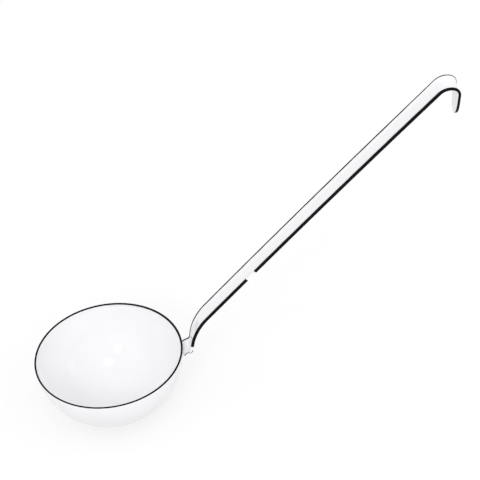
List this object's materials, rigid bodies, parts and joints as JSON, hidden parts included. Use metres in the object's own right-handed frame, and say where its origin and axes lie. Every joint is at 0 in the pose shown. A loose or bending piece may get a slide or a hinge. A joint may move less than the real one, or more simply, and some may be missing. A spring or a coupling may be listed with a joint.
{
  "type": "ladle",
  "caption": "Enamelled steel ladle: a deep round bowl with a dark rim and a long strip handle that ends in a hook, for serving soup and hanging on a rail.",
  "frame": {"origin": "middle of the small flat under the bowl", "axes": "+Z out of the bowl's mouth, +X from the bowl towards the handle, +Y to the handle's far side in the picture"},
  "size_m": [0.2856, 0.1, 0.2354],
  "materials": {
    "white_enamel": "glossy vitreous enamel on steel",
    "black_enamel": "glossy vitreous enamel on steel"
  },
  "bodies": {
    "root": {"bowl": "white_enamel", "bowl_rim_edging": "black_enamel", "handle": "white_enamel", "handle_edging_long": "black_enamel", "handle_edging_short": "black_enamel", "neck_weld": "white_enamel"}
  },
  "joints": []
}
